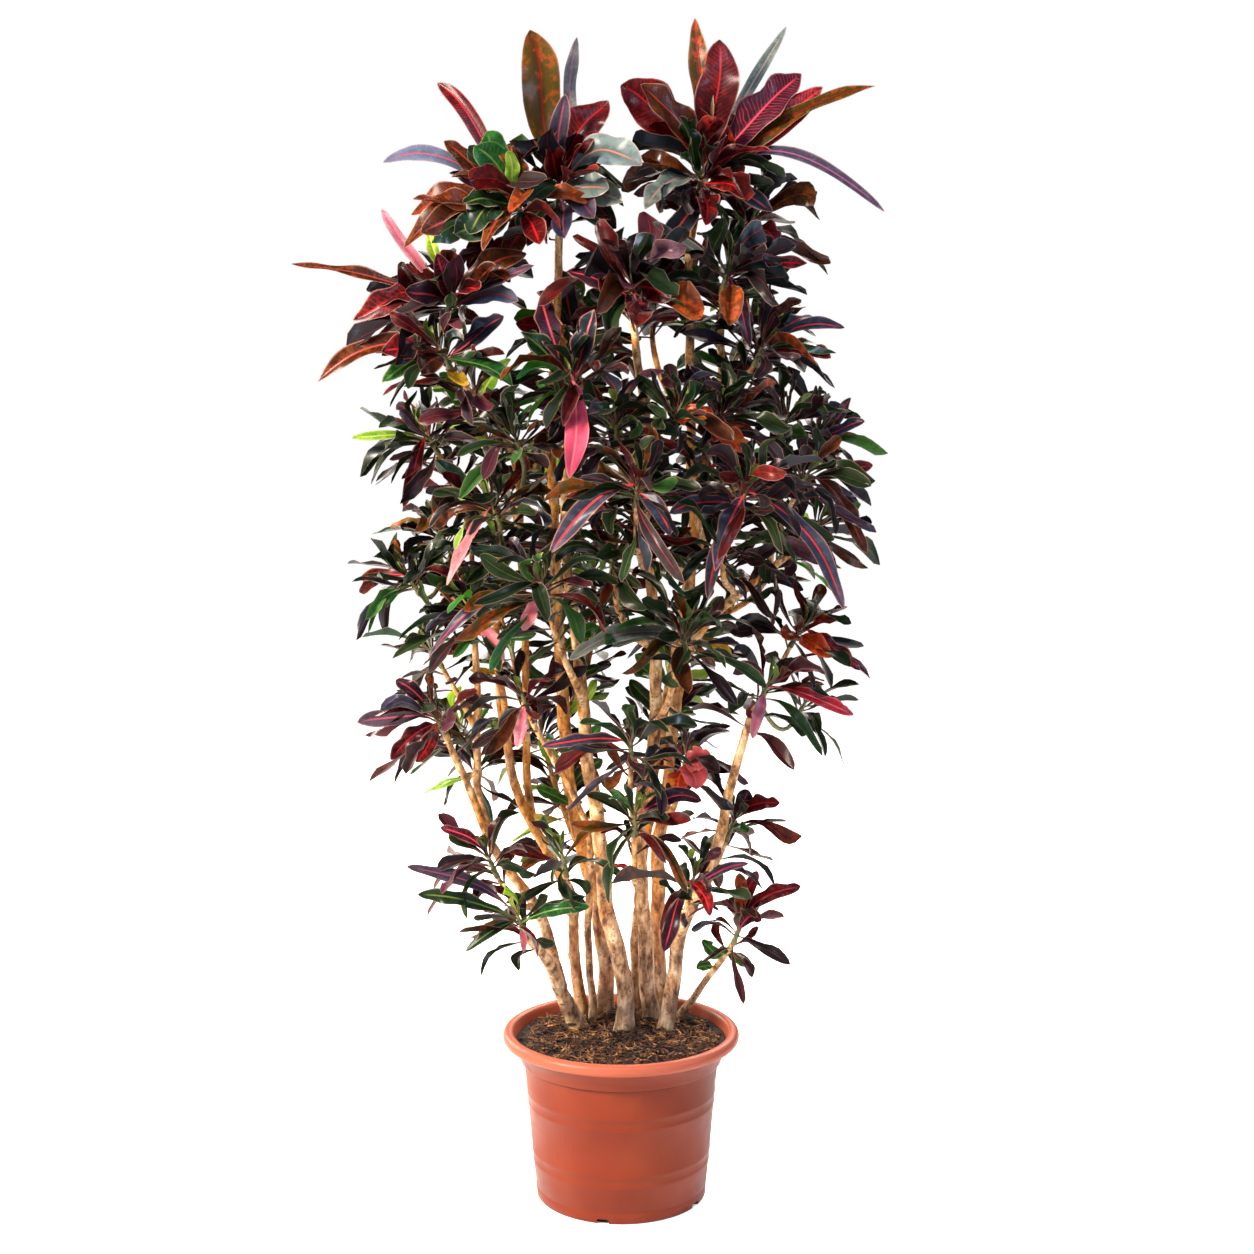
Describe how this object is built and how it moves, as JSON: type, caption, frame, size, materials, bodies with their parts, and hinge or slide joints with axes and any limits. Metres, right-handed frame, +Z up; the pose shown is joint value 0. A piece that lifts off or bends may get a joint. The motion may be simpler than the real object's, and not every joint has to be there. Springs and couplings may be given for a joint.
{
  "type": "potted croton",
  "caption": "Branching croton shrub with waved red, bronze and dark green leaves on bare tan stems, in a round terracotta-coloured plastic nursery pot filled with soil.",
  "frame": {"origin": "centre of the pot's flat underside", "axes": "+Z up along the pot's axis, +X to the right and +Y away from the viewer in the picture's view"},
  "size_m": [0.7842, 0.5558, 1.56],
  "materials": {
    "pot": "satin moulded",
    "soil": "loose peat and bark",
    "bark": "rough bark",
    "peel": "rough peeling bark",
    "leaf_green": "waxy",
    "leaf_dark": "waxy",
    "leaf_maroon": "waxy",
    "leaf_bronze": "waxy"
  },
  "bodies": {
    "root": {"pot": "pot", "soil": "soil", "stem_A": "bark", "stem_B": "peel", "stem_C": "bark", "stem_D": "bark", "stem_E": "bark", "stem_F": "bark", "stem_G": "peel", "stem_H": "bark", "stem_I": "bark", "stem_J": "bark", "tuft_T1": "leaf_maroon", "tuft_T3": "leaf_maroon", "tuft_L2": "leaf_maroon", "tuft_C1": "leaf_maroon", "tuft_R1": "leaf_dark", "tuft_R2": "leaf_dark", "tuft_C2": "leaf_green", "tuft_L3": "leaf_dark", "tuft_L4": "leaf_green", "tuft_M1": "leaf_dark", "tuft_M2": "leaf_green", "tuft_M4": "leaf_bronze", "tuft_R3": "leaf_bronze", "tuft_R5": "leaf_dark", "tuft_R6": "leaf_dark", "tuft_R7": "leaf_dark", "tuft_L5": "leaf_green", "tuft_M5": "leaf_green", "tuft_M6": "leaf_green", "tuft_M7": "leaf_green", "tuft_R8": "leaf_maroon", "tuft_R9": "leaf_maroon", "tuft_L7": "leaf_maroon", "tuft_L8": "leaf_green", "tuft_L9": "leaf_green", "tuft_L10": "leaf_green", "tuft_M8": "leaf_maroon", "tuft_M9": "leaf_dark", "tuft_M10": "leaf_green", "tuft_M11": "leaf_bronze", "tuft_B1": "leaf_green", "tuft_B2": "leaf_maroon", "tuft_B3": "leaf_green", "tuft_B4": "leaf_maroon", "tuft_B5": "leaf_maroon", "tuft_B6": "leaf_maroon", "tuft_K1": "leaf_green", "tuft_K2": "leaf_dark", "tuft_K3": "leaf_maroon", "tuft_K4": "leaf_dark", "tuft_K5": "leaf_green", "tuft_K6": "leaf_green", "tuft_K7": "leaf_green", "tuft_K8": "leaf_green", "tuft_K9": "leaf_green", "tuft_K10": "leaf_maroon", "tuft_K11": "leaf_green", "tuft_K12": "leaf_maroon"}
  },
  "joints": []
}
